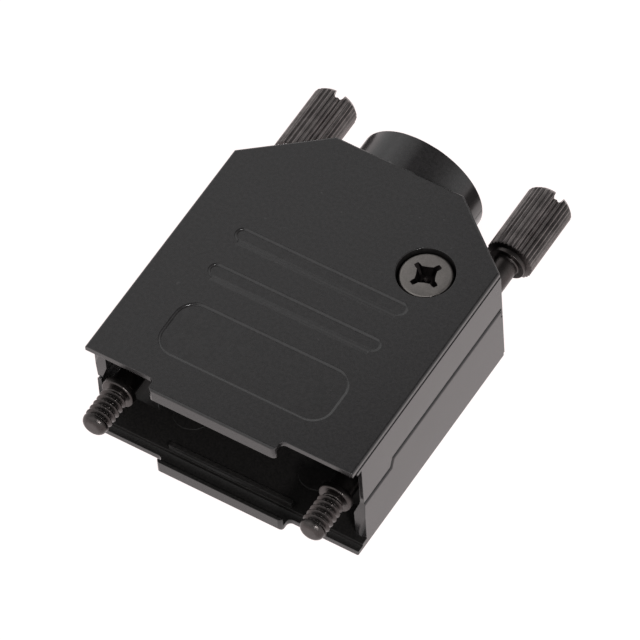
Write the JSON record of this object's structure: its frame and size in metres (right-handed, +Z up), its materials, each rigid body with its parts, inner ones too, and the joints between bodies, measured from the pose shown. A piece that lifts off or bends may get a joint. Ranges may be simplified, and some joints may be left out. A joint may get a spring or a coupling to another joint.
{
  "type": "d-sub connector hood",
  "caption": "Black die-cast hood for a 9-way D-sub cable connector, with captive knurled thumbscrews, a straight cable outlet and an inner cable clamp.",
  "frame": {"origin": "middle of the mouth, in the plane of the faces' front edges, on the parting plane and halfway between the thumbscrews", "axes": "+X across the hood, from thumbscrew_left to thumbscrew_right; +Y from the mouth to the cable outlet; +Z up, from the lower shell to the upper shell"},
  "size_m": [0.0308, 0.046, 0.014],
  "materials": {
    "shell_paint": "semi-gloss black paint on die-cast zinc",
    "screw_steel": "blackened steel",
    "clamp_zinc": "bare die-cast zinc",
    "clamp_steel": "plated steel"
  },
  "bodies": {
    "hood": {"upper_shell": "shell_paint", "lower_shell": "shell_paint", "assembly_screw_top": "screw_steel", "assembly_screw_bottom": "screw_steel", "cable_clamp_upper": "clamp_zinc", "cable_clamp_lower": "clamp_zinc", "clamp_screw_left": "clamp_steel", "clamp_screw_right": "clamp_steel"},
    "thumbscrew_left": {"thumbscrew_left": "screw_steel"},
    "thumbscrew_right": {"thumbscrew_right": "screw_steel"}
  },
  "joints": [
    {"name": "left_turn", "type": "hinge", "parent": "hood", "child": "thumbscrew_left", "pos_m": [-0.0125, 0, 0], "axis": [0, 1, 0], "continuous": true},
    {"name": "right_turn", "type": "hinge", "parent": "hood", "child": "thumbscrew_right", "pos_m": [0.0125, 0, 0], "axis": [0, 1, 0], "continuous": true}
  ]
}
